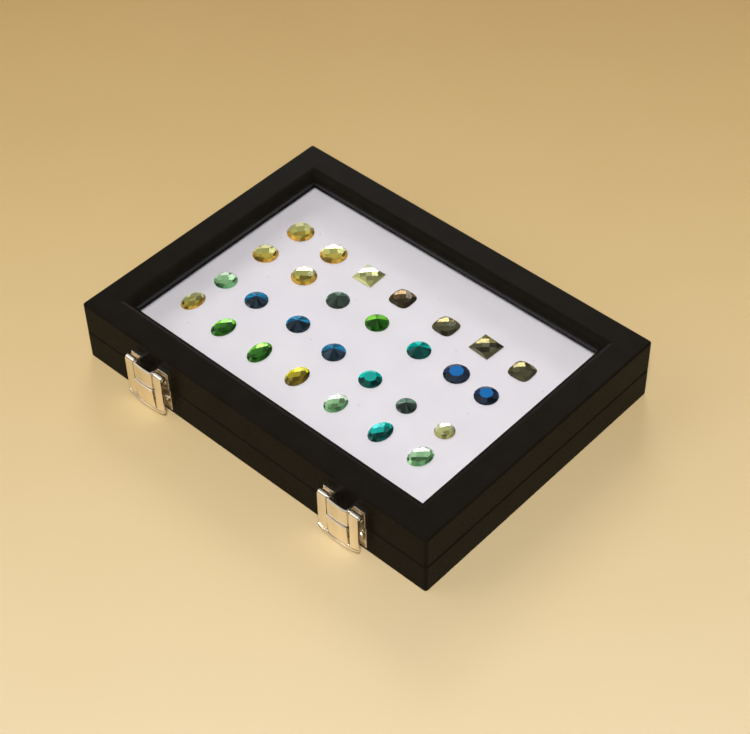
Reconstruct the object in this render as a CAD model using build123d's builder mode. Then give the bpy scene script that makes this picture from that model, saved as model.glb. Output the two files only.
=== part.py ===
"""A glass-lidded display box for loose gemstones.

Millimetres. X runs along the front from left to right, Y from the front to the back and
Z up. The origin is the centre of the underside. The lid turns on two butt hinges at the
rear, and two stamped clasps on the front hold it shut.
"""

import os
from math import cos, hypot, pi, radians, sin, tan

from build123d import *

# Overall box
box_width = 220.0
box_depth = 160.0
box_height = 35.0
parting_height = 16.7
seam_gap = 0.3

# Covering and carcass
skin = 0.8
corner_radius = 1.5
edge_radius = 1.0
seam_chamfer = 0.6
rail_thickness = 8.0
underside_sheet_thickness = 0.5
underside_sheet_inset = 3.0
floor_thickness = 3.0

# Window in the lid
window_border = 17.0
window_roll = 4.0
frame_thickness = 5.4
glass_thickness = 2.0
glass_overlap = 6.0
glass_clearance = 0.2
bead_thickness = 2.5
bead_setback = 2.0
lining_thickness = 0.6

# Pad and foam
pad_top = 19.8
pad_thickness = 6.0
pad_clearance = 0.6
pad_edge_radius = 1.5
foam_clearance = 0.3

# Stones
girdle = 0.3
pavilion_angle = 24.0
left_margin = 19.0
right_margin = 33.5
front_margin = 33.5
rear_margin = 33.0

# Clasps
clasp_spacing = 125.6
plate_width = 24.8
plate_sheet = 1.0
plate_bottom_gap = 0.1
plate_height = 9.9
plate_screw_rise = 3.6
boss_width = 12.2
boss_reach = 5.9
boss_bow = 0.35
boss_bend = 0.6
lever_width = 24.4
lever_sheet = 0.9
lever_drop = 21.4
lever_arc = 3.0
hem_height = 1.2
hem_proud = 0.3
window_gap = 0.9
tongue_gap = 0.5
tongue_side_gap = 0.9
tongue_proud = 1.2
slot_radius = 0.6
hook_width = 6.0
hook_sheet = 0.9
hook_clearance = 0.5
hook_standoff = 1.1
catch_lip_height = 9.0
catch_lip_sheet = 1.4
catch_lip_reach = 2.5
catch_lip_width = 8.0
catch_lip_round = 0.5
catch_width = 25.6
catch_bottom = 3.2
catch_sheet = 0.9
clasp_pin_radius = 0.9
clasp_pin_edge = 1.6
clasp_pin_standoff = 3.6
clasp_pin_proud = 0.3
curl_end = 60.0

# Hinges
hinge_spacing = 120.0
leaf_width = 20.0
leaf_height = 8.0
leaf_sheet = 0.8
barrel_radius = 1.7
barrel_standoff = 0.3
barrel_relief = 0.4
hinge_pin_radius = 0.9
knuckle_gap = 0.3

# Fits and fasteners
running_fit = 0.06
fixed_fit = 0.02
screw_radius = 0.8
screw_length = 6.0
screw_head_radius = 1.6
screw_head_height = 0.6
screw_head_chamfer = 0.3
screw_sides = 8
recess_length = 1.8
recess_width = 0.4
recess_depth = 0.35

# Levels and planes worked out from the sizes above
base_top = parting_height - seam_gap / 2
lid_bottom = parting_height + seam_gap / 2
carcass_width = box_width - 2 * skin
carcass_depth = box_depth - 2 * skin
tray_width = carcass_width - 2 * rail_thickness
tray_depth = carcass_depth - 2 * rail_thickness
window_width = box_width - 2 * window_border
window_depth = box_depth - 2 * window_border
frame_bottom = box_height - frame_thickness
glass_bottom = frame_bottom - glass_thickness
bead_bottom = glass_bottom - bead_thickness
glass_width = window_width + 2 * glass_overlap
glass_depth = window_depth + 2 * glass_overlap
pad_bottom = pad_top - pad_thickness
pad_width = tray_width - 2 * (lining_thickness + pad_clearance)
pad_depth = tray_depth - 2 * (lining_thickness + pad_clearance)
floor_bottom = underside_sheet_thickness
floor_top = floor_bottom + floor_thickness
front_wall = -box_depth / 2
rear_wall = box_depth / 2

plate_bottom = lid_bottom + plate_bottom_gap
plate_top = plate_bottom + plate_height
clasp_pin_y = front_wall - clasp_pin_standoff
clasp_pin_z = plate_top - clasp_pin_edge
curl_inner = clasp_pin_radius + running_fit
curl_outer = curl_inner + lever_sheet
lever_corner_z = clasp_pin_z - lever_drop
catch_top = base_top - plate_bottom_gap
screw_offset = (boss_width + plate_width) / 4
lid_screw_z = plate_bottom + plate_screw_rise
catch_screw_z = (catch_bottom + catch_top) / 2

hinge_y = rear_wall + barrel_standoff + barrel_radius
leaf_start = barrel_radius + barrel_relief
leaf_screw_rise = leaf_start + leaf_height / 2
leaf_screw_offset = leaf_width / 2 - 2 * screw_head_radius

clasp_centres = {"left": -clasp_spacing / 2, "right": clasp_spacing / 2}
hinge_centres = {"left": -hinge_spacing / 2, "right": hinge_spacing / 2}
clasp_screw_xs = [
    centre + side * screw_offset for centre in clasp_centres.values() for side in (-1, 1)
]
hinge_screw_xs = [
    centre + side * leaf_screw_offset for centre in hinge_centres.values() for side in (-1, 1)
]

os.makedirs("parts", exist_ok=True)


def write(part, name):
    """Label a finished piece and write it under its own name."""
    part.label = name
    export_step(part, f"parts/{name}.step")


# Screws and the bores that take them

def screw_points(xs, z):
    return [(x, z) for x in xs]


def bore_screws(xs, z, wall):
    """Cut the screws' bores, along Y, out of the piece being built."""
    with BuildSketch(Plane.XZ.offset(-wall)) as bores:
        with Locations(*screw_points(xs, z)):
            RegularPolygon(screw_radius + fixed_fit, screw_sides)
    extrude(bores.sketch, amount=2 * screw_length, both=True, mode=Mode.SUBTRACT)


def screws(xs, z, seat, outward):
    """Screws with chamfered heads and a cross recess, seated on the plane y = seat."""
    with BuildPart() as group:
        with BuildSketch(Plane.XZ.offset(-seat)):
            with Locations(*screw_points(xs, z)):
                RegularPolygon(screw_radius, screw_sides)
        extrude(amount=-outward * screw_length)
        with BuildSketch(Plane.XZ.offset(-seat)):
            with Locations(*screw_points(xs, z)):
                RegularPolygon(screw_head_radius, screw_sides)
        extrude(amount=outward * screw_head_height)
        crown_y = seat - outward * screw_head_height
        crowns = group.faces().filter_by_position(Axis.Y, crown_y - 0.01, crown_y + 0.01)
        chamfer(crowns.edges(), screw_head_chamfer)
        with BuildSketch(Plane.XZ.offset(-seat + outward * screw_head_height)):
            with Locations(*screw_points(xs, z)):
                Rectangle(recess_length, recess_width)
                Rectangle(recess_width, recess_length)
        extrude(amount=-outward * recess_depth, mode=Mode.SUBTRACT)
    return group.part


write(screws(clasp_screw_xs, lid_screw_z, front_wall - plate_sheet, 1), "clasp_lid_screws")
write(screws(clasp_screw_xs, catch_screw_z, front_wall - catch_sheet, 1), "clasp_catch_screws")
lid_leaf_screw_z = parting_height + leaf_screw_rise
base_leaf_screw_z = parting_height - leaf_screw_rise
write(screws(hinge_screw_xs, lid_leaf_screw_z, rear_wall + leaf_sheet, -1), "hinge_lid_screws")
write(screws(hinge_screw_xs, base_leaf_screw_z, rear_wall + leaf_sheet, -1), "hinge_base_screws")


# Four mitred sides cut from one closed frame

def mitred_side(frame, side):
    half_width = box_width / 2
    half_depth = box_depth / 2
    inner = half_width - half_depth
    outlines = {
        "front": [(-half_width, -half_depth), (half_width, -half_depth), (inner, 0), (-inner, 0)],
        "rear": [(-half_width, half_depth), (-inner, 0), (inner, 0), (half_width, half_depth)],
        "left": [(-half_width, -half_depth), (-inner, 0), (-half_width, half_depth)],
        "right": [(half_width, -half_depth), (half_width, half_depth), (inner, 0)],
    }
    with BuildPart() as piece:
        add(frame)
        with BuildSketch():
            with BuildLine():
                Polyline(*outlines[side], close=True)
            make_face()
        extrude(amount=2 * box_height, mode=Mode.INTERSECT)
    return piece.part


def write_mitred(frame, name):
    for side in ("front", "rear", "left", "right"):
        write(mitred_side(frame, side), f"{name}_{side}")


# Base: rails, floor board, underside sheet and covering

with BuildPart() as base_rails:
    with BuildSketch(Plane.XY.offset(underside_sheet_thickness + skin)):
        Rectangle(carcass_width, carcass_depth)
        Rectangle(tray_width, tray_depth, mode=Mode.SUBTRACT)
    extrude(amount=base_top - underside_sheet_thickness - 2 * skin)
    bore_screws(clasp_screw_xs, catch_screw_z, front_wall)
    bore_screws(hinge_screw_xs, base_leaf_screw_z, rear_wall)
write_mitred(base_rails.part, "base_rail")

with BuildPart() as base_floor:
    with BuildSketch(Plane.XY.offset(floor_bottom)):
        Rectangle(tray_width, tray_depth)
    extrude(amount=floor_thickness)
write(base_floor.part, "base_floor")

with BuildPart() as underside_sheet:
    with BuildSketch():
        Rectangle(box_width - 2 * underside_sheet_inset, box_depth - 2 * underside_sheet_inset)
    extrude(amount=underside_sheet_thickness)
write(underside_sheet.part, "underside_sheet")

with BuildPart() as base_leatherette:
    with BuildSketch(Plane.XY.offset(underside_sheet_thickness)):
        RectangleRounded(box_width, box_depth, corner_radius)
    extrude(amount=base_top - underside_sheet_thickness)
    chamfer(base_leatherette.edges().group_by(Axis.Z)[-1], seam_chamfer)
    with BuildSketch(Plane.XY.offset(underside_sheet_thickness)):
        Rectangle(tray_width, tray_depth)
    extrude(amount=base_top, mode=Mode.SUBTRACT)
    with BuildSketch(Plane.XY.offset(underside_sheet_thickness + skin)):
        Rectangle(carcass_width, carcass_depth)
    extrude(amount=base_top - underside_sheet_thickness - 2 * skin, mode=Mode.SUBTRACT)
    bore_screws(clasp_screw_xs, catch_screw_z, front_wall)
    bore_screws(hinge_screw_xs, base_leaf_screw_z, rear_wall)
write(base_leatherette.part, "base_leatherette")

with BuildPart() as foam_block:
    with BuildSketch(Plane.XY.offset(floor_top)):
        Rectangle(tray_width - 2 * foam_clearance, tray_depth - 2 * foam_clearance)
    extrude(amount=pad_bottom - floor_top)
write(foam_block.part, "foam_block")


# Lid: rails, top frame, covering, glass, beads and lining

with BuildPart() as lid_rails:
    with BuildSketch(Plane.XY.offset(lid_bottom + skin)):
        Rectangle(carcass_width, carcass_depth)
        Rectangle(tray_width, tray_depth, mode=Mode.SUBTRACT)
    extrude(amount=frame_bottom - lid_bottom - skin)
    bore_screws(clasp_screw_xs, lid_screw_z, front_wall)
    bore_screws(hinge_screw_xs, lid_leaf_screw_z, rear_wall)
write_mitred(lid_rails.part, "lid_rail")

with BuildPart() as lid_frame:
    with BuildSketch(Plane.XY.offset(frame_bottom)):
        Rectangle(carcass_width, carcass_depth)
        Rectangle(window_width + 2 * skin, window_depth + 2 * skin, mode=Mode.SUBTRACT)
    extrude(amount=frame_thickness - skin)
    frame_top_face = lid_frame.faces().sort_by(Axis.Z)[-1]
    fillet(frame_top_face.inner_wires().edges(), window_roll - skin)
write_mitred(lid_frame.part, "lid_frame")

with BuildPart() as lid_leatherette:
    with BuildSketch(Plane.XY.offset(lid_bottom)):
        RectangleRounded(box_width, box_depth, corner_radius)
    extrude(amount=box_height - lid_bottom)
    fillet(lid_leatherette.edges().group_by(Axis.Z)[-1], edge_radius)
    chamfer(lid_leatherette.edges().group_by(Axis.Z)[0], seam_chamfer)
    with BuildSketch(Plane.XY.offset(lid_bottom)):
        Rectangle(tray_width, tray_depth)
    extrude(amount=frame_bottom - lid_bottom, mode=Mode.SUBTRACT)
    with BuildSketch(Plane.XY.offset(frame_bottom)):
        Rectangle(window_width, window_depth)
    extrude(amount=frame_thickness, mode=Mode.SUBTRACT)
    cover_top_face = lid_leatherette.faces().sort_by(Axis.Z)[-1]
    fillet(cover_top_face.inner_wires().edges(), window_roll)
    with BuildSketch(Plane.XY.offset(lid_bottom + skin)):
        Rectangle(carcass_width, carcass_depth)
    extrude(amount=frame_bottom - lid_bottom - skin, mode=Mode.SUBTRACT)
    add(lid_frame.part, mode=Mode.SUBTRACT)
    bore_screws(clasp_screw_xs, lid_screw_z, front_wall)
    bore_screws(hinge_screw_xs, lid_leaf_screw_z, rear_wall)
write(lid_leatherette.part, "lid_leatherette")

with BuildPart() as glass_pane:
    with BuildSketch(Plane.XY.offset(glass_bottom)):
        Rectangle(glass_width, glass_depth)
    extrude(amount=glass_thickness)
write(glass_pane.part, "glass_pane")

with BuildPart() as glass_beads:
    with BuildSketch(Plane.XY.offset(bead_bottom)):
        Rectangle(tray_width, tray_depth)
    extrude(amount=frame_bottom - bead_bottom)
    with BuildSketch(Plane.XY.offset(bead_bottom)):
        Rectangle(window_width + 2 * bead_setback, window_depth + 2 * bead_setback)
    extrude(amount=bead_thickness, mode=Mode.SUBTRACT)
    with BuildSketch(Plane.XY.offset(glass_bottom)):
        Rectangle(glass_width + 2 * glass_clearance, glass_depth + 2 * glass_clearance)
    extrude(amount=glass_thickness, mode=Mode.SUBTRACT)
write_mitred(glass_beads.part, "glass_bead")

with BuildPart() as lid_lining:
    with BuildSketch(Plane.XY.offset(lid_bottom)):
        Rectangle(tray_width, tray_depth)
        Rectangle(tray_width - 2 * lining_thickness, tray_depth - 2 * lining_thickness, mode=Mode.SUBTRACT)
    extrude(amount=bead_bottom - lid_bottom)
write(lid_lining.part, "lid_lining")


# Stones. Each cut is worked as on a lapping wheel, from a blank of the girdle's outline, one
# ring of flat facets after another. A ring is its count, its first angle, the share of the
# radius where it starts, and its slope from level in degrees.

facet_rings = {
    "domed": [(16, 0.0, 1.0, 48.0), (8, 22.5, 0.87, 32.0)],
    "pointed": [(16, 0.0, 1.0, 34.0), (16, 0.0, 0.86, 25.0)],
    "tabled": [(16, 0.0, 1.0, 42.0), (8, 22.5, 0.92, 31.0)],
    "square": [(4, 0.0, 1.0, 38.0)],
    "cushion": [(4, 0.0, 1.0, 44.0), (8, 22.5, 0.90, 34.0)],
}
table_share = {"domed": 0.72, "pointed": 0.0, "tabled": 0.52, "square": 0.84, "cushion": 0.78}
# a checked top has square facets laid on a shallow dome, corner to corner with the stone's sides:
# their pitch and the radius of the dome, as shares of half the stone's width
checked_top = {"domed": (0.56, 4.4), "square": (0.50, 4.6), "cushion": (0.52, 4.4)}
checks = [(i, j) for i in range(-2, 3) for j in range(-2, 3) if abs(i) + abs(j) <= 2]
outline_power = {"domed": 2.0, "pointed": 2.0, "tabled": 2.0, "square": None, "cushion": 3.6}
outline_sides = 16


def girdle_outline(power, half_length, half_width):
    """Corners of the girdle: a square, or a round or cushion outline from one formula."""
    if power is None:
        return [(-half_length, -half_width), (half_length, -half_width),
                (half_length, half_width), (-half_length, half_width)]
    corners = []
    for step in range(outline_sides):
        angle = 2 * pi * (step + 0.5) / outline_sides
        x = abs(cos(angle)) ** (2 / power) * (1 if cos(angle) > 0 else -1)
        y = abs(sin(angle)) ** (2 / power) * (1 if sin(angle) > 0 else -1)
        corners.append((half_length * x, half_width * y))
    return corners


def cut_stone(cut, length, width):
    """One stone on the plane z = 0 of its girdle, long side along X."""
    half_length = length / 2
    half_width = width / 2
    stretch = half_length / half_width
    rings = facet_rings[cut]
    flat = half_width * (1 if outline_power[cut] is None else cos(pi / outline_sides))
    depth = half_width * tan(radians(pavilion_angle))
    with BuildPart() as stone:
        with BuildSketch() as outline:
            with BuildLine():
                Polyline(*girdle_outline(outline_power[cut], half_length, half_width), close=True)
            make_face()
        extrude(amount=girdle + half_width)
        height = girdle
        for number, (count, first, share, slope) in enumerate(rings):
            for step in range(count):
                angle = radians(first) + 2 * pi * step / count
                point = (stretch * share * flat * cos(angle), share * flat * sin(angle), height)
                normal = (sin(radians(slope)) * cos(angle) / stretch, sin(radians(slope)) * sin(angle),
                          cos(radians(slope)))
                split(bisect_by=Plane(origin=point, z_dir=normal), keep=Keep.BOTTOM)
            end = rings[number + 1][2] if number + 1 < len(rings) else table_share[cut]
            height += (share - end) * flat * tan(radians(slope))
        if cut in checked_top:
            pitch, dome = (share * half_width for share in checked_top[cut])
            height += (table_share[cut] * flat) ** 2 / (2 * dome)
            for i, j in checks:
                u = pitch * (i - j) * cos(pi / 4)
                v = pitch * (i + j) * cos(pi / 4)
                point = (stretch * u, v, height - (u * u + v * v) / (2 * dome))
                normal = (u / stretch, v, dome)
                split(bisect_by=Plane(origin=point, z_dir=normal), keep=Keep.BOTTOM)
        else:
            split(bisect_by=Plane.XY.offset(height), keep=Keep.BOTTOM)
        loft(sections=[outline.sketch.face(), Vertex(0, 0, -depth)], ruled=True)
    return stone.part


# Where the stones lie on the pad: cut, length, width, turn, column from the left, row from the
# front, and how far the stone lies off that spot in x and y
laid_stones = {
    "golden_round_stones": [
        ("domed", 14.2, 14.2, 8, 0, 3, 2.0, 1.0), ("domed", 14.2, 14.2, 0, 1, 3, 1.5, 0.0),
        ("domed", 13.3, 13.3, 0, 0, 2, 0.0, 2.0), ("domed", 13.3, 13.3, -7, 1, 2, 1.5, 3.0),
    ],
    "golden_oval_stone": [("domed", 14.0, 10.0, 88, 0, 0, -2.5, 3.0)],
    "champagne_square_stone": [("square", 12.0, 12.0, 2, 2, 3, 1.0, 0.0)],
    "champagne_round_stone": [("domed", 10.0, 10.0, 15, 6, 1, -1.0, -4.5)],
    "smoke_cushion_stone": [("cushion", 12.0, 12.0, 1, 3, 3, 0.0, -1.0)],
    "black_diamond_stones": [
        ("cushion", 12.0, 12.0, 0, 4, 3, 4.0, -1.5), ("square", 12.0, 12.0, -3, 5, 3, 3.0, 0.5),
        ("cushion", 12.0, 12.0, 2, 6, 3, 1.5, -0.5),
    ],
    "grey_green_stones": [
        ("pointed", 12.0, 12.0, 8, 2, 2, 1.5, 1.5), ("pointed", 10.0, 10.0, 0, 5, 1, 0.0, -4.5),
    ],
    "green_round_stone": [("pointed", 12.0, 12.0, 0, 3, 2, 2.0, 2.5)],
    "green_oval_stones": [
        ("domed", 14.0, 10.0, 86, 1, 0, -2.5, 0.0), ("domed", 15.0, 10.0, 95, 2, 0, -2.0, -0.5),
    ],
    "teal_round_stones": [
        ("pointed", 12.0, 12.0, 12, 4, 2, 5.0, 2.0), ("tabled", 11.5, 11.5, 0, 4, 1, 0.5, -3.0),
    ],
    "teal_oval_stone": [("domed", 14.0, 10.0, 88, 5, 0, 2.0, 0.0)],
    "sapphire_stones": [
        ("tabled", 13.0, 13.0, 5, 5, 2, 4.0, 2.0), ("tabled", 12.0, 12.0, 0, 6, 2, -1.0, 0.5),
    ],
    "blue_pointed_stones": [
        ("pointed", 12.0, 12.0, 0, 1, 1, -4.0, -0.5), ("pointed", 12.0, 12.0, 10, 2, 1, -1.5, 1.0),
        ("pointed", 12.0, 12.0, 5, 3, 1, 0.0, -1.5),
    ],
    "mint_round_stone": [("domed", 12.0, 12.0, 0, 0, 1, -1.0, -0.5)],
    "mint_oval_stones": [
        ("domed", 13.0, 10.0, 85, 4, 0, -1.0, -0.5), ("domed", 13.5, 10.5, 80, 6, 0, 1.0, 1.0),
    ],
    "citrine_oval_stone": [("domed", 14.0, 10.0, 90, 3, 0, -2.0, 0.0)],
}

blanks = {}
for laid in laid_stones.values():
    for cut, length, width, *place in laid:
        if (cut, length, width) not in blanks:
            blanks[cut, length, width] = cut_stone(cut, length, width)

columns = 7
rows = 4
column_pitch = (pad_width - left_margin - right_margin) / (columns - 1)
row_pitch = (pad_depth - front_margin - rear_margin) / (rows - 1)
first_x = left_margin - pad_width / 2
first_y = front_margin - pad_depth / 2

stone_groups = {}
for name, laid in laid_stones.items():
    with BuildPart() as group:
        for cut, length, width, turn, column, row, off_x, off_y in laid:
            x = first_x + column * column_pitch + off_x
            y = first_y + row * row_pitch + off_y
            with Locations(Location((x, y, pad_top), (0, 0, turn))):
                add(blanks[cut, length, width])
    stone_groups[name] = group.part
    write(group.part, name)

with BuildPart() as display_pad:
    with BuildSketch(Plane.XY.offset(pad_bottom)):
        Rectangle(pad_width, pad_depth)
    extrude(amount=pad_thickness)
    fillet(display_pad.edges().group_by(Axis.Z)[-1], pad_edge_radius)
    for stones in stone_groups.values():
        add(stones, mode=Mode.SUBTRACT)
write(display_pad.part, "display_pad")


# Clasps: a folded lid plate, a rolled and slotted lever, its pin, and a catch plate

def hat_outline(half, reach, bow):
    """Plan of the folded boss, from the wall out, with a bowed front."""
    front = front_wall - reach
    with BuildLine() as outline:
        Line((-half, front_wall), (-half, front))
        ThreePointArc((-half, front), (0, front - bow), (half, front))
        Line((half, front), (half, front_wall))
        Line((half, front_wall), (-half, front_wall))
    return outline.line


def lid_plate(centre):
    with BuildPart() as plate:
        with BuildSketch(Plane.XY.offset(plate_bottom)):
            with Locations((0, front_wall - plate_sheet / 2)):
                Rectangle(plate_width, plate_sheet)
            make_face(hat_outline(boss_width / 2, boss_reach, boss_bow))
        extrude(amount=plate_height)
        bends = plate.edges().filter_by(Axis.Z).group_by(Axis.Y)[0]
        fillet(bends, boss_bend)
        with BuildSketch(Plane.XY.offset(plate_bottom)):
            make_face(hat_outline(boss_width / 2 - plate_sheet, boss_reach - plate_sheet, boss_bow))
        extrude(amount=plate_height, mode=Mode.SUBTRACT)
        with BuildSketch(Plane.YZ.offset(-plate_width)):
            with Locations((clasp_pin_y, clasp_pin_z)):
                Circle(clasp_pin_radius + fixed_fit)
        extrude(amount=2 * plate_width, mode=Mode.SUBTRACT)
        bore_screws([-screw_offset, screw_offset], lid_screw_z, front_wall)
    return plate.part.moved(Location((centre, 0, 0)))


def on_curl(radius, degrees):
    """A point round the clasp's pin, seen from the side."""
    angle = radians(degrees)
    return clasp_pin_y + radius * cos(angle), clasp_pin_z + radius * sin(angle)


def lever(centre):
    half = lever_width / 2
    opening_half = boss_width / 2 + window_gap
    tongue_half = opening_half - tongue_side_gap
    front = clasp_pin_y - curl_outer
    back = clasp_pin_y - curl_inner
    lowest = lever_corner_z - lever_arc
    hem_corner_z = lever_corner_z + hem_height
    opening_bottom = lever_corner_z
    tongue_top = plate_bottom - tongue_gap
    with BuildPart() as body:
        # the rolled eye and the flat sheet below it, seen from the side
        with BuildSketch(Plane.YZ.offset(-half)):
            with BuildLine():
                Line((front, lowest), (front, clasp_pin_z))
                ThreePointArc(on_curl(curl_outer, 180), on_curl(curl_outer, 90), on_curl(curl_outer, 0))
                ThreePointArc(on_curl(curl_outer, 0), on_curl(curl_outer, -curl_end / 2),
                              on_curl(curl_outer, -curl_end))
                Line(on_curl(curl_outer, -curl_end), on_curl(curl_inner, -curl_end))
                ThreePointArc(on_curl(curl_inner, -curl_end), on_curl(curl_inner, -curl_end / 2),
                              on_curl(curl_inner, 0))
                ThreePointArc(on_curl(curl_inner, 0), on_curl(curl_inner, 90), on_curl(curl_inner, 180))
                Line((back, clasp_pin_z), (back, lowest))
                Line((back, lowest), (front, lowest))
            make_face()
        extrude(amount=lever_width)
        # the front outline, with its curved lower edge
        with BuildSketch(Plane.XZ.offset(-front_wall)):
            with BuildLine():
                Line((-half, lever_corner_z), (-half, plate_top + lever_drop))
                Line((-half, plate_top + lever_drop), (half, plate_top + lever_drop))
                Line((half, plate_top + lever_drop), (half, lever_corner_z))
                ThreePointArc((half, lever_corner_z), (0, lowest), (-half, lever_corner_z))
            make_face()
        extrude(amount=4 * boss_reach, mode=Mode.INTERSECT)
        # the opening round the boss
        with BuildSketch(Plane.XZ.offset(-front_wall)):
            with Locations((0, opening_bottom)):
                RectangleRounded(2 * opening_half, 2 * lever_drop, slot_radius,
                                 align=(Align.CENTER, Align.MIN))
        extrude(amount=4 * boss_reach, mode=Mode.SUBTRACT)
        # the sprung tongue below the boss, bowed like it and leaning outwards
        tongue_root = opening_bottom - slot_radius
        tongue_rise = tongue_top - tongue_root
        with BuildSketch(Plane((0, front, tongue_root), (1, 0, 0), (0, -tongue_proud, tongue_rise))):
            with BuildLine():
                Line((-tongue_half, lever_sheet), (-tongue_half, 0))
                ThreePointArc((-tongue_half, 0), (0, -boss_bow), (tongue_half, 0))
                Line((tongue_half, 0), (tongue_half, lever_sheet))
                ThreePointArc((tongue_half, lever_sheet), (0, lever_sheet - boss_bow),
                              (-tongue_half, lever_sheet))
            make_face()
        extrude(amount=hypot(tongue_rise, tongue_proud))
        # the hem along the lower edge, to lift it by
        with BuildSketch(Plane.XZ.offset(-back)):
            with BuildLine():
                ThreePointArc((-half, lever_corner_z), (0, lowest), (half, lever_corner_z))
                Line((half, lever_corner_z), (half, hem_corner_z))
                ThreePointArc((half, hem_corner_z), (0, lowest + hem_height), (-half, hem_corner_z))
                Line((-half, hem_corner_z), (-half, lever_corner_z))
            make_face()
        extrude(amount=lever_sheet + hem_proud)
        # the hook behind the tongue, which snaps under the lip of the catch plate
        hook_top = catch_lip_height - hook_clearance
        lean = tongue_proud * (hook_top - tongue_root) / tongue_rise
        hook_root = front - lean
        hook_tip = front_wall - catch_sheet - hook_standoff
        with BuildSketch(Plane.YZ.offset(-hook_width / 2)):
            with Locations((hook_tip, hook_top)):
                Rectangle(hook_tip - hook_root, hook_sheet, align=(Align.MAX, Align.MAX))
        extrude(amount=hook_width)
    return body.part.moved(Location((centre, 0, 0)))


def clasp_pin(centre):
    """Two stub pins, each through one eye of the lever and riveted in the side of the boss."""
    outer = lever_width / 2 + clasp_pin_proud
    inner = boss_width / 2 - plate_sheet
    with BuildPart() as pin:
        for start in (-outer, inner):
            with BuildSketch(Plane.YZ.offset(start)):
                with Locations((clasp_pin_y, clasp_pin_z)):
                    Circle(clasp_pin_radius)
            extrude(amount=outer - inner)
    return pin.part.moved(Location((centre, 0, 0)))


def catch_plate(centre):
    with BuildPart() as plate:
        with BuildSketch(Plane.XZ.offset(-front_wall)):
            with Locations((0, catch_bottom)):
                Rectangle(catch_width, catch_top - catch_bottom, align=(Align.CENTER, Align.MIN))
        extrude(amount=catch_sheet)
        with BuildSketch(Plane.YZ.offset(-catch_lip_width / 2)):
            with Locations((front_wall - catch_sheet, catch_lip_height)):
                Rectangle(catch_lip_reach, catch_lip_sheet, align=(Align.MAX, Align.MIN))
        extrude(amount=catch_lip_width)
        fillet(plate.edges().filter_by(Axis.X).group_by(Axis.Y)[0], catch_lip_round)
        bore_screws([-screw_offset, screw_offset], catch_screw_z, front_wall)
    return plate.part.moved(Location((centre, 0, 0)))


for side, centre in clasp_centres.items():
    write(lid_plate(centre), f"clasp_{side}_lid_plate")
    write(lever(centre), f"clasp_{side}_lever")
    write(clasp_pin(centre), f"clasp_{side}_pin")
    write(catch_plate(centre), f"clasp_{side}_catch_plate")


# Hinges: two leaves with rolled knuckles, and a pin

knuckle_third = leaf_width / 4


def hinge_leaf(centre, upward, knuckles, fit, screw_z):
    """A leaf on the rear wall: upward is 1 on the lid, -1 on the base, and knuckles are spans in X."""
    with BuildPart() as leaf:
        start = parting_height + upward * leaf_start
        with BuildSketch(Plane.XZ.offset(-rear_wall)):
            with Locations((0, start + upward * leaf_height / 2)):
                Rectangle(leaf_width, leaf_height)
        extrude(amount=-leaf_sheet)
        for low, high in knuckles:
            with BuildSketch(Plane.YZ.offset(low)):
                with Locations((hinge_y, parting_height)):
                    Circle(barrel_radius)
                strap_height = leaf_start + leaf_sheet
                with Locations((rear_wall, parting_height + upward * strap_height / 2)):
                    Rectangle(leaf_sheet + barrel_standoff, strap_height, align=(Align.MIN, Align.CENTER))
                with Locations((hinge_y, parting_height)):
                    Circle(hinge_pin_radius + fit, mode=Mode.SUBTRACT)
            extrude(amount=high - low)
        bore_screws([-leaf_screw_offset, leaf_screw_offset], screw_z, rear_wall)
    return leaf.part.moved(Location((centre, 0, 0)))


def hinge_pin(centre):
    with BuildPart() as pin:
        with BuildSketch(Plane.YZ.offset(-leaf_width / 2)):
            with Locations((hinge_y, parting_height)):
                Circle(hinge_pin_radius)
        extrude(amount=leaf_width)
    return pin.part.moved(Location((centre, 0, 0)))


inner_knuckle = [(-knuckle_third + knuckle_gap / 2, knuckle_third - knuckle_gap / 2)]
outer_knuckles = [(-leaf_width / 2, -knuckle_third - knuckle_gap / 2),
                  (knuckle_third + knuckle_gap / 2, leaf_width / 2)]
for side, centre in hinge_centres.items():
    write(hinge_leaf(centre, 1, inner_knuckle, running_fit, lid_leaf_screw_z), f"hinge_{side}_lid_leaf")
    write(hinge_leaf(centre, -1, outer_knuckles, fixed_fit, base_leaf_screw_z), f"hinge_{side}_base_leaf")
    write(hinge_pin(centre), f"hinge_{side}_pin")
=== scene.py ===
"""The looks of a glass-lidded gemstone display box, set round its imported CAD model."""

from math import cos, pi, radians, sin

import bpy
import bmesh
from mathutils import Matrix, Vector, noise
from mathutils.bvhtree import BVHTree


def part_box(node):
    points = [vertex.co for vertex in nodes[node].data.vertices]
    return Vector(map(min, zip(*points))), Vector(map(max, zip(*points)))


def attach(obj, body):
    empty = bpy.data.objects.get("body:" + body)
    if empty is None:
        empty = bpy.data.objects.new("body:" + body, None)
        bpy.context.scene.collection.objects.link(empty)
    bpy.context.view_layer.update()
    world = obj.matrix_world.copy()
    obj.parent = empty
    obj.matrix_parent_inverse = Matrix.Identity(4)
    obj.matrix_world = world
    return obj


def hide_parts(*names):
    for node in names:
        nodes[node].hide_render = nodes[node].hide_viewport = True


MM = 0.001

# The level way that the stones' painted light and the floor's painted shade are laid along, from the near
# corner of the box to its far one
rearward = (-0.69, 0.72, 0.0)

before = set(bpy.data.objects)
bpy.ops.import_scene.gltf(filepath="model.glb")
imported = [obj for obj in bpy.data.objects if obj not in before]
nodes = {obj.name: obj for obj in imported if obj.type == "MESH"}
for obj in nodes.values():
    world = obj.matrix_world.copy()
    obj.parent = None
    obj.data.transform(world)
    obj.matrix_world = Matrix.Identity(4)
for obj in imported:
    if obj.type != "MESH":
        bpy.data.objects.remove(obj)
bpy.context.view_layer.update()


# Nodes of a material

def grey(level):
    return (level, level, level)


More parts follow.
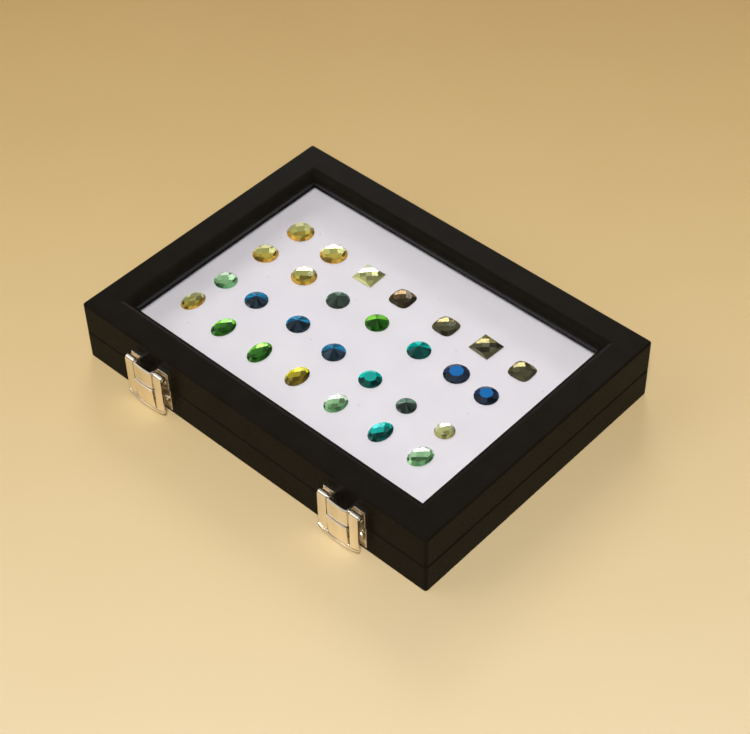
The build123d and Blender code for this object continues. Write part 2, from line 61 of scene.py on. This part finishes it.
def new_material(name):
    """A material and the shader that its finish is set on."""
    material = bpy.data.materials.new(name)
    material.use_nodes = True
    return material, material.node_tree.nodes["Principled BSDF"]


def add(tree, kind, **settings):
    """A shader node with its settings, by the name of a property or of an input."""
    node = tree.nodes.new("ShaderNode" + kind)
    for key, value in settings.items():
        if hasattr(node, key):
            setattr(node, key, value)
        else:
            node.inputs[key.replace("_", " ")].default_value = value
    return node


def join(tree, source, output, target, socket):
    tree.links.new(source.outputs[output], target.inputs[socket])


def set_plain(shader, **values):
    """Values that are the same all over a surface, by the name of the shader's input."""
    for key, value in values.items():
        shader.inputs[key.replace("_", " ")].default_value = value


def ramp(tree, source, output, stops):
    """A colour ramp with stops of (place, colour), fed with a node's value."""
    node = add(tree, "ValToRGB")
    elements = node.color_ramp.elements
    elements[0].position, elements[0].color = stops[0][0], (*stops[0][1], 1)
    elements[1].position, elements[1].color = stops[-1][0], (*stops[-1][1], 1)
    for place, colour in stops[1:-1]:
        elements.new(place).color = (*colour, 1)
    join(tree, source, output, node, "Fac")
    return node


def remap(tree, source, output, start, end, low=0.0, high=1.0):
    """A node's value carried from start..end to low..high, and held there."""
    node = add(tree, "MapRange", From_Min=start, From_Max=end, To_Min=low, To_Max=high)
    join(tree, source, output, node, "Value")
    return node


def dot_with(tree, source, output, way):
    """How far a node's vector goes along a fixed way."""
    node = add(tree, "VectorMath", operation="DOT_PRODUCT")
    node.inputs[1].default_value = way
    join(tree, source, output, node, 0)
    return node


def place_on_piece(tree, scale=(1, 1, 1)):
    """Object coordinates through a Mapping node."""
    coordinates = add(tree, "TexCoord")
    mapping = add(tree, "Mapping", Scale=scale)
    join(tree, coordinates, "Object", mapping, "Vector")
    return mapping


def texture(tree, place, kind, **settings):
    """A texture laid out by a Mapping node."""
    node = add(tree, kind, **settings)
    join(tree, place, "Vector", node, "Vector")
    return node


def bump(tree, height, output, distance, strength, shader):
    """Relief read from a node's value: distance is how deep it goes, in metres."""
    node = add(tree, "Bump", Distance=distance, Strength=strength)
    join(tree, height, output, node, "Height")
    join(tree, node, "Normal", shader, "Normal")
    return node


# Finishes

def leatherette():
    material, shader = new_material("embossed_leatherette")
    tree = material.node_tree
    place = place_on_piece(tree)
    pebbles = texture(tree, place, "TexVoronoi", feature="SMOOTH_F1", Scale=1900.0, Smoothness=0.5)
    waves = texture(tree, place, "TexNoise", Scale=90.0, Detail=3.0)
    tone = ramp(tree, waves, "Fac", [(0.3, (0.0082, 0.0065, 0.0043)), (0.7, (0.0106, 0.0086, 0.0058))])
    join(tree, tone, "Color", shader, "Base Color")
    gloss = ramp(tree, pebbles, "Distance", [(0.2, grey(0.22)), (0.8, grey(0.30))])
    join(tree, gloss, "Color", shader, "Roughness")
    bump(tree, pebbles, "Distance", 0.06 * MM, 0.5, shader)
    set_plain(shader, Specular_IOR_Level=0.018)
    return material


def nickel():
    """Polished plate with a grain along Z, smears and worn edges."""
    material, shader = new_material("polished_nickel")
    tree = material.node_tree
    place = place_on_piece(tree, (1.0, 1.0, 0.06))
    grain = texture(tree, place, "TexNoise", Scale=5200.0, Detail=2.0)
    smears = texture(tree, place, "TexNoise", Scale=260.0, Detail=3.0)
    tone = ramp(tree, smears, "Fac", [(0.35, (0.84, 0.76, 0.64)), (0.65, (0.93, 0.86, 0.75))])
    join(tree, tone, "Color", shader, "Base Color")
    gloss = ramp(tree, smears, "Fac", [(0.3, grey(0.16)), (0.7, grey(0.26))])
    join(tree, gloss, "Color", shader, "Roughness")
    relief = bump(tree, grain, "Fac", 0.01 * MM, 0.12, shader)
    worn_edges = add(tree, "Bevel", samples=8, Radius=0.4 * MM)
    join(tree, worn_edges, "Normal", relief, "Normal")
    set_plain(shader, Metallic=1.0)
    return material


def velvet():
    material, shader = new_material("white_flocked_velvet")
    tree = material.node_tree
    place = place_on_piece(tree)
    pile = texture(tree, place, "TexNoise", Scale=3800.0, Detail=4.0, Roughness=0.7)
    nap = texture(tree, place, "TexNoise", Scale=55.0, Detail=3.0)
    tone = ramp(tree, nap, "Fac", [(0.3, (0.745, 0.690, 0.750)), (0.7, (0.785, 0.730, 0.790))])
    # a few specks of lint
    lint = texture(tree, place, "TexVoronoi", voronoi_dimensions="2D", Scale=24.0)
    speck = remap(tree, lint, "Distance", 0.008, 0.005)
    marked = add(tree, "MixRGB", Color2=(0.30, 0.27, 0.26, 1))
    join(tree, speck, "Result", marked, "Fac")
    join(tree, tone, "Color", marked, "Color1")
    join(tree, marked, "Color", shader, "Base Color")
    bump(tree, pile, "Fac", 0.08 * MM, 0.5, shader)
    set_plain(shader, Roughness=0.95, Specular_IOR_Level=0.1, Sheen_Weight=0.25, Sheen_Roughness=0.5)
    return material


def felt():
    material, shader = new_material("black_felt_lining")
    tree = material.node_tree
    fibres = texture(tree, place_on_piece(tree), "TexNoise", Scale=2600.0, Detail=5.0, Roughness=0.75)
    tone = ramp(tree, fibres, "Fac", [(0.3, grey(0.004)), (0.8, (0.016, 0.016, 0.015))])
    join(tree, tone, "Color", shader, "Base Color")
    bump(tree, fibres, "Fac", 0.1 * MM, 0.6, shader)
    set_plain(shader, Roughness=1.0, Specular_IOR_Level=0.1, Sheen_Weight=0.15)
    return material


def painted_bead():
    """Close-grained wood under thin black paint, with its grain along X."""
    material, shader = new_material("black_painted_bead")
    tree = material.node_tree
    place = place_on_piece(tree, (0.08, 1.0, 1.0))
    grain = texture(tree, place, "TexNoise", Scale=900.0, Detail=6.0, Roughness=0.6)
    tone = ramp(tree, grain, "Fac", [(0.35, grey(0.006)), (0.65, (0.014, 0.013, 0.012))])
    join(tree, tone, "Color", shader, "Base Color")
    bump(tree, grain, "Fac", 0.05 * MM, 0.4, shader)
    set_plain(shader, Roughness=0.6)
    return material


def fibreboard():
    material, shader = new_material("brown_fibreboard")
    tree = material.node_tree
    flecks = texture(tree, place_on_piece(tree), "TexNoise", Scale=1500.0, Detail=6.0, Roughness=0.7)
    tone = ramp(tree, flecks, "Fac", [(0.3, (0.15, 0.10, 0.055)), (0.7, (0.30, 0.21, 0.13))])
    join(tree, tone, "Color", shader, "Base Color")
    bump(tree, flecks, "Fac", 0.1 * MM, 0.5, shader)
    set_plain(shader, Roughness=0.85)
    return material


def paper():
    material, shader = new_material("black_base_paper")
    tree = material.node_tree
    fibres = texture(tree, place_on_piece(tree), "TexNoise", Scale=700.0, Detail=5.0, Roughness=0.65)
    tone = ramp(tree, fibres, "Fac", [(0.3, grey(0.010)), (0.7, (0.022, 0.022, 0.021))])
    join(tree, tone, "Color", shader, "Base Color")
    bump(tree, fibres, "Fac", 0.08 * MM, 0.4, shader)
    set_plain(shader, Roughness=0.8)
    return material


def foam():
    material, shader = new_material("grey_foam")
    tree = material.node_tree
    cells = texture(tree, place_on_piece(tree), "TexVoronoi", Scale=1400.0)
    tone = ramp(tree, cells, "Distance", [(0.0, grey(0.20)), (0.6, grey(0.36))])
    join(tree, tone, "Color", shader, "Base Color")
    bump(tree, cells, "Distance", 0.2 * MM, 0.7, shader)
    set_plain(shader, Roughness=1.0)
    return material


def glass():
    """Clear picture glass, thin enough to let the lamps' light straight through."""
    material, shader = new_material("clear_glass_pane")
    tree = material.node_tree
    tree.nodes.remove(shader)
    clear = add(tree, "BsdfTransparent", Color=(0.985, 0.995, 0.99, 1.0))
    gloss = add(tree, "BsdfGlossy", Color=(1.0, 1.0, 1.0, 1.0), Roughness=0.02)
    facing = add(tree, "Fresnel", IOR=1.04)
    mixed = add(tree, "MixShader")
    join(tree, facing, "Fac", mixed, 0)
    join(tree, clear, 0, mixed, 1)
    join(tree, gloss, 0, mixed, 2)
    join(tree, mixed, 0, tree.nodes["Material Output"], "Surface")
    return material


# The upward part of a facet's normal: the crown's facets have the first value or more, and the
# steep ones by the girdle the second or less
crown_up = 0.82
steep_up = 0.70

# The same for the level facet on top, and for all the tilted ones
level_up = 0.999
tilted_up = 0.995

# Painted reflections: each tilted facet's colour is multiplied by a value of its own, between these two
darkest = 0.25
brightest = 1.7

# Normals nearer than this count as one facet's
same_normal = 0.02


def crystal(name, painted_shade, core, painted_light, rim):
    """Foil-backed cut glass, coloured facet by facet with painted light and shade as from a light at the
    rear left: the lit colour, a painted light, where a facet leans to the rear left, core where it is
    level, the deep colour, a painted shade, where it leans away, and rim on the steep ones, apart from
    those that lean to the rear left, which take a paler painted light."""
    material, shader = new_material(name)
    tree = material.node_tree
    # each flat facet has one true normal, however the mesh is smoothed
    surface = add(tree, "NewGeometry")
    upright = add(tree, "SeparateXYZ")
    join(tree, surface, "True Normal", upright, "Vector")
    # painted light and shade: how far a facet leans to the rear left sets how light it is painted
    lean = dot_with(tree, surface, "True Normal", rearward)
    spread = remap(tree, lean, "Value", -0.5, 0.5)
    crown = ramp(tree, spread, "Result", [(0.44, painted_shade), (0.485, core), (0.515, core), (0.60, painted_light)])
    # painted light: steep facets that lean to the rear left are painted paler
    paler_painted_light = tuple(min(0.9, 0.04 + 1.4 * part) for part in painted_light)
    edge = ramp(tree, spread, "Result", [(0.50, rim), (0.85, paler_painted_light)])
    steep = remap(tree, upright, "Z", crown_up, steep_up)
    tone = add(tree, "MixRGB")
    join(tree, steep, "Result", tone, "Fac")
    join(tree, crown, "Color", tone, "Color1")
    join(tree, edge, "Color", tone, "Color2")
    # painted reflections: noise read from the normal makes each facet darker or brighter, all but the
    # level one on top
    rounded = add(tree, "VectorMath", operation="SNAP")
    rounded.inputs[1].default_value = (same_normal, same_normal, same_normal)
    join(tree, surface, "True Normal", rounded, 0)
    facets = texture(tree, rounded, "TexWhiteNoise")
    brightness = remap(tree, facets, "Value", 0.0, 1.0, darkest, brightest)
    tilt = remap(tree, upright, "Z", level_up, tilted_up)
    varied = add(tree, "Mix", A=1.0)
    join(tree, tilt, "Result", varied, "Factor")
    join(tree, brightness, "Result", varied, "B")
    shaded = add(tree, "VectorMath", operation="SCALE")
    join(tree, tone, "Color", shaded, 0)
    join(tree, varied, "Result", shaded, "Scale")
    join(tree, shaded, "Vector", shader, "Base Color")
    join(tree, surface, "True Normal", shader, "Normal")
    join(tree, surface, "True Normal", shader, "Coat Normal")
    set_plain(shader, Metallic=0.3, Roughness=0.05, Specular_IOR_Level=0.0)
    set_plain(shader, Coat_Weight=0.35, Coat_Roughness=0.01, Coat_IOR=1.55)
    return material


finishes = {
    "black_leatherette": leatherette(),
    "bright_nickel": nickel(),
    "black_felt": felt(),
    "black_bead": painted_bead(),
    "fibreboard": fibreboard(),
    "underside_paper": paper(),
    "foam": foam(),
    "clear_glass": glass(),
    # each crystal's colours for facets that lean away and lean to the rear left are painted shade and
    # painted light
    "golden_crystal": crystal("golden_crystal_glass",
                              painted_shade=(0.38, 0.29, 0.05), core=(0.36, 0.34, 0.10),
                              painted_light=(0.85, 0.78, 0.42), rim=(0.56, 0.31, 0.05)),
    "champagne_crystal": crystal("champagne_crystal_glass",
                                 painted_shade=(0.30, 0.30, 0.12), core=(0.42, 0.42, 0.18),
                                 painted_light=(0.74, 0.74, 0.52), rim=(0.34, 0.32, 0.12)),
    "smoke_crystal": crystal("smoke_crystal_glass",
                             painted_shade=(0.030, 0.022, 0.012), core=(0.070, 0.040, 0.015),
                             painted_light=(0.15, 0.08, 0.020), rim=(0.045, 0.030, 0.018)),
    "black_diamond_crystal": crystal("black_diamond_glass",
                                     painted_shade=(0.065, 0.058, 0.032), core=(0.060, 0.056, 0.024),
                                     painted_light=(0.20, 0.16, 0.05), rim=(0.055, 0.045, 0.028)),
    "grey_green_crystal": crystal("grey_green_glass",
                                  painted_shade=(0.036, 0.052, 0.042), core=(0.060, 0.085, 0.070),
                                  painted_light=(0.20, 0.34, 0.26), rim=(0.035, 0.050, 0.042)),
    "green_crystal": crystal("green_crystal_glass",
                             painted_shade=(0.020, 0.10, 0.010), core=(0.028, 0.145, 0.012),
                             painted_light=(0.22, 0.66, 0.06), rim=(0.020, 0.085, 0.010)),
    "teal_crystal": crystal("teal_crystal_glass",
                            painted_shade=(0.008, 0.065, 0.055), core=(0.003, 0.36, 0.32),
                            painted_light=(0.002, 0.52, 0.46), rim=(0.010, 0.080, 0.070)),
    "sapphire_crystal": crystal("sapphire_crystal_glass",
                                painted_shade=(0.020, 0.028, 0.046), core=(0.005, 0.14, 0.44),
                                painted_light=(0.018, 0.036, 0.080), rim=(0.018, 0.026, 0.046)),
    "blue_crystal": crystal("blue_crystal_glass",
                            painted_shade=(0.026, 0.042, 0.060), core=(0.02, 0.12, 0.22),
                            painted_light=(0.020, 0.25, 0.50), rim=(0.020, 0.040, 0.070)),
    "mint_crystal": crystal("mint_crystal_glass",
                            painted_shade=(0.18, 0.34, 0.16), core=(0.26, 0.46, 0.24),
                            painted_light=(0.74, 0.88, 0.70), rim=(0.14, 0.36, 0.16)),
    "citrine_crystal": crystal("citrine_crystal_glass",
                               painted_shade=(0.16, 0.11, 0.015), core=(0.34, 0.27, 0.012),
                               painted_light=(0.80, 0.68, 0.010), rim=(0.15, 0.10, 0.018)),
}

for node in nodes.values():
    for slot in node.material_slots:
        if slot.material.name in finishes:
            slot.material = finishes[slot.material.name]


# The velvet pad, in place of its plain solid

grid_step = 0.8 * MM
soft_edge = 2.2 * MM
edge_drop = 0.55 * soft_edge
edge_curve = 2.4
ripple_depth = 0.12 * MM
ripples_per_metre = 45.0
clear_of_stone = 0.02 * MM

# rings down the pad's side: how far each is set in, and its share of the way to the bottom
side_rings = ((0.0, 0.45), (0.1 * MM, 0.8), (0.5 * MM, 1.0))


def stone_trees():
    """What the pad must stay under: a search tree for each group of stones."""
    trees = []
    for name, node in nodes.items():
        if name.endswith(("_stone", "_stones")):
            corners = [v.co.copy() for v in node.data.vertices]
            faces = [tuple(p.vertices) for p in node.data.polygons]
            trees.append(BVHTree.FromPolygons(corners, faces))
    return trees


def pad_height(x, y, low, high, trees):
    """The level of the pad's top: soft along its edges, rippled, and pressed in under each stone."""
    inside = min(x - low.x, high.x - x, y - low.y, high.y - y)
    fall = max(0.0, 1.0 - inside / soft_edge)
    ripple = ripple_depth * (noise.noise(Vector((x, y, 0.0)) * ripples_per_metre) - 1.0)
    level = high.z - edge_drop * fall ** edge_curve + ripple * (1.0 - fall)
    below_pad = Vector((x, y, 2 * low.z - high.z))
    for tree in trees:
        stone_bottom = tree.ray_cast(below_pad, Vector((0, 0, 1)))[0]
        if stone_bottom is not None:
            level = min(level, stone_bottom.z - clear_of_stone)
    return level


def pad_top(mesh, low, high):
    """The top as a grid of faces. Its corners come back row by row."""
    trees = stone_trees()
    size = high - low
    columns = round(size.x / grid_step)
    rows = round(size.y / grid_step)
    grid = []
    for row in range(rows + 1):
        y = low.y + size.y * row / rows
        line = []
        for column in range(columns + 1):
            x = low.x + size.x * column / columns
            line.append(mesh.verts.new((x, y, pad_height(x, y, low, high, trees))))
        grid.append(line)
    for front, rear in zip(grid, grid[1:]):
        for column in range(columns):
            mesh.faces.new((front[column], front[column + 1], rear[column + 1], rear[column]))
    return grid


def pad_sides(mesh, grid, low, high):
    """The sides, rounded in at the bottom, and the flat underside."""
    right = [line[-1] for line in grid[:-1]]
    left = [line[0] for line in grid[:0:-1]]
    rim = grid[0][:-1] + right + grid[-1][:0:-1] + left
    rings = [rim]
    for inset, share in side_rings:
        ring = []
        for corner in rim:
            x = min(max(corner.co.x, low.x + inset), high.x - inset)
            y = min(max(corner.co.y, low.y + inset), high.y - inset)
            ring.append(mesh.verts.new((x, y, corner.co.z + share * (low.z - corner.co.z))))
        rings.append(ring)
    count = len(rim)
    for upper, lower in zip(rings, rings[1:]):
        for number in range(count):
            following = (number + 1) % count
            mesh.faces.new((upper[following], upper[number], lower[number], lower[following]))
    mesh.faces.new(rings[-1][::-1])


def velvet_pad():
    """A foam-filled pad with soft edges, pressed in where each stone lies."""
    low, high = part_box("display_pad")
    mesh = bmesh.new()
    grid = pad_top(mesh, low, high)
    pad_sides(mesh, grid, low, high)
    bmesh.ops.recalc_face_normals(mesh, faces=mesh.faces[:])
    data = bpy.data.meshes.new("velvet_pad")
    mesh.to_mesh(data)
    mesh.free()
    for face in data.polygons:
        face.use_smooth = True
    pad = bpy.data.objects.new("velvet_pad", data)
    bpy.context.scene.collection.objects.link(pad)
    pad.data.materials.append(velvet())
    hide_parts("display_pad")
    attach(pad, "base")


velvet_pad()


# Floor

floor_size = 12.0
mottling = 0.06


def pale_floor():
    """A wide sheet of gold paper, mottled a little, with painted shade that makes it deeper and darker
    toward the back.
    """
    bpy.ops.object.select_all(action="DESELECT")
    bpy.ops.mesh.primitive_plane_add(size=floor_size, location=(0, 0, 0))
    floor = bpy.context.object
    floor.name = "pale_floor"
    material, shader = new_material("pale_warm_floor")
    tree = material.node_tree
    place = place_on_piece(tree)
    clouds = texture(tree, place, "TexNoise", Scale=9.0, Detail=2.0)
    backward = dot_with(tree, place, "Vector", rearward)
    mottled = add(tree, "Math", operation="MULTIPLY_ADD")
    mottled.inputs[1].default_value = mottling
    join(tree, clouds, "Fac", mottled, 0)
    join(tree, backward, "Value", mottled, 2)
    # painted shade: the floor's colour darkens toward the back
    painted_shade_falloff = remap(tree, mottled, "Value", -0.25, 0.75)
    tone = ramp(tree, painted_shade_falloff, "Result", [(0.0, (0.79, 0.65, 0.41)), (0.38, (0.65, 0.465, 0.205)),
                                           (0.70, (0.49, 0.30, 0.088)), (1.0, (0.45, 0.27, 0.076))])
    join(tree, tone, "Color", shader, "Base Color")
    set_plain(shader, Roughness=0.6, Specular_IOR_Level=0.3)
    floor.data.materials.append(material)


pale_floor()


# Light: a dim room with two pale walls and two small windows, and two lamps before the box

# Level ways from the box to the middle of a wall or a window
straight_behind = (-0.692, 0.722, 0.0)
right_of_that = (-0.556, 0.831, 0.0)
at_the_left = (-0.924, -0.382, 0.0)

# Each wall and window: its way, then its sides, its foot and its head, each from where it begins to
# show to where it shows in full, and how bright it is. The sides are given as the cosine of the
# angle from its way, the foot and the head as the sine of the angle above level. The clasps' edges
# and the stones mirror these areas.
bright_areas = (
    (straight_behind, (0.80, 0.93), (0.61, 0.66), (0.86, 0.80), 0.7),
    (at_the_left, (0.80, 0.93), (0.40, 0.50), (0.90, 0.84), 0.8),
    (straight_behind, (0.975, 0.986), (0.39, 0.42), (0.59, 0.57), 8.0),
    (right_of_that, (0.992, 0.996), (0.60, 0.63), (0.72, 0.69), 6.0),
)


def soft_limit(tree, value, limits):
    """From 0 at the first limit to 1 at the second."""
    reach = add(tree, "MapRange", interpolation_type="SMOOTHSTEP", From_Min=limits[0], From_Max=limits[1])
    tree.links.new(value, reach.inputs["Value"])
    return reach.outputs["Result"]


def product(tree, first, second):
    both = add(tree, "Math", operation="MULTIPLY")
    tree.links.new(first, both.inputs[0])
    tree.links.new(second, both.inputs[1])
    return both.outputs["Value"]


def with_area(tree, rest, across, height, sides, foot, head, strength):
    """The sky so far and a soft-edged bright area on it."""
    area = product(tree, soft_limit(tree, across, sides), soft_limit(tree, height, foot))
    area = product(tree, area, soft_limit(tree, height, head))
    total = add(tree, "Math", operation="MULTIPLY_ADD")
    total.inputs[1].default_value = strength
    tree.links.new(area, total.inputs[0])
    tree.links.new(rest, total.inputs[2])
    return total.outputs["Value"]


def studio():
    world = bpy.data.worlds.new("studio")
    bpy.context.scene.world = world
    world.use_nodes = True
    tree = world.node_tree
    coordinates = add(tree, "TexCoord")
    parts = add(tree, "SeparateXYZ")
    join(tree, coordinates, "Generated", parts, "Vector")
    room = ramp(tree, parts, "Z", [(0.0, grey(0.75)), (0.10, grey(0.20)), (0.60, grey(0.05)),
                                   (0.85, grey(0.08))])
    level = add(tree, "VectorMath", operation="MULTIPLY")
    level.inputs[1].default_value = (1.0, 1.0, 0.0)
    join(tree, coordinates, "Generated", level, 0)
    heading = add(tree, "VectorMath", operation="NORMALIZE")
    join(tree, level, "Vector", heading, 0)
    light = room.outputs["Color"]
    for way, sides, foot, head, strength in bright_areas:
        across = dot_with(tree, heading, "Vector", way).outputs["Value"]
        light = with_area(tree, light, across, parts.outputs["Z"], sides, foot, head, strength)
    background = tree.nodes["Background"]
    background.inputs["Color"].default_value = (1.0, 0.99, 0.98, 1.0)
    tree.links.new(light, background.inputs["Strength"])


def toward(azimuth, elevation):
    """The way from the box to a place round it: azimuth 0 is straight before the box, 90 its right."""
    turn = radians(azimuth)
    rise = radians(elevation)
    return Vector((sin(turn) * cos(rise), -cos(turn) * cos(rise), sin(rise)))


def lamp(name, side, distance, strength, azimuth, elevation):
    """A square lamp turned to the box; strength is how bright its face looks."""
    data = bpy.data.lights.new(name, "AREA")
    data.shape = "SQUARE"
    data.size = side
    data.energy = strength * pi * side * side
    data.color = (1.0, 0.985, 0.97)
    item = bpy.data.objects.new(name, data)
    bpy.context.scene.collection.objects.link(item)
    away = toward(azimuth, elevation)
    turn = (-away).to_track_quat("-Z", "Y").to_matrix()
    item.matrix_world = Matrix.Translation(away * distance) @ turn.to_4x4()


studio()
lamp("viewer_lamp", side=0.5, distance=2.6, strength=73.0, azimuth=41, elevation=57)
lamp("left_lamp", side=0.6, distance=1.3, strength=1.2, azimuth=-34, elevation=36)


# Camera, at the photograph's viewing angle

def camera():
    distance = 0.84695
    aim = Vector((0.02412, -0.01817, 0.035))
    roll = radians(-1.426)
    data = bpy.data.cameras.new("camera")
    data.sensor_width = 36.0
    data.lens = 87.97
    data.clip_start = 0.01
    data.clip_end = 50.0
    item = bpy.data.objects.new("camera", data)
    bpy.context.scene.collection.objects.link(item)
    back = toward(43.475, 45.94)
    turn = (-back).to_track_quat("-Z", "Y").to_matrix() @ Matrix.Rotation(roll, 3, "Z")
    item.matrix_world = Matrix.Translation(aim + back * distance) @ turn.to_4x4()
    bpy.context.scene.camera = item


camera()

bpy.context.scene.view_settings.view_transform = "Standard"
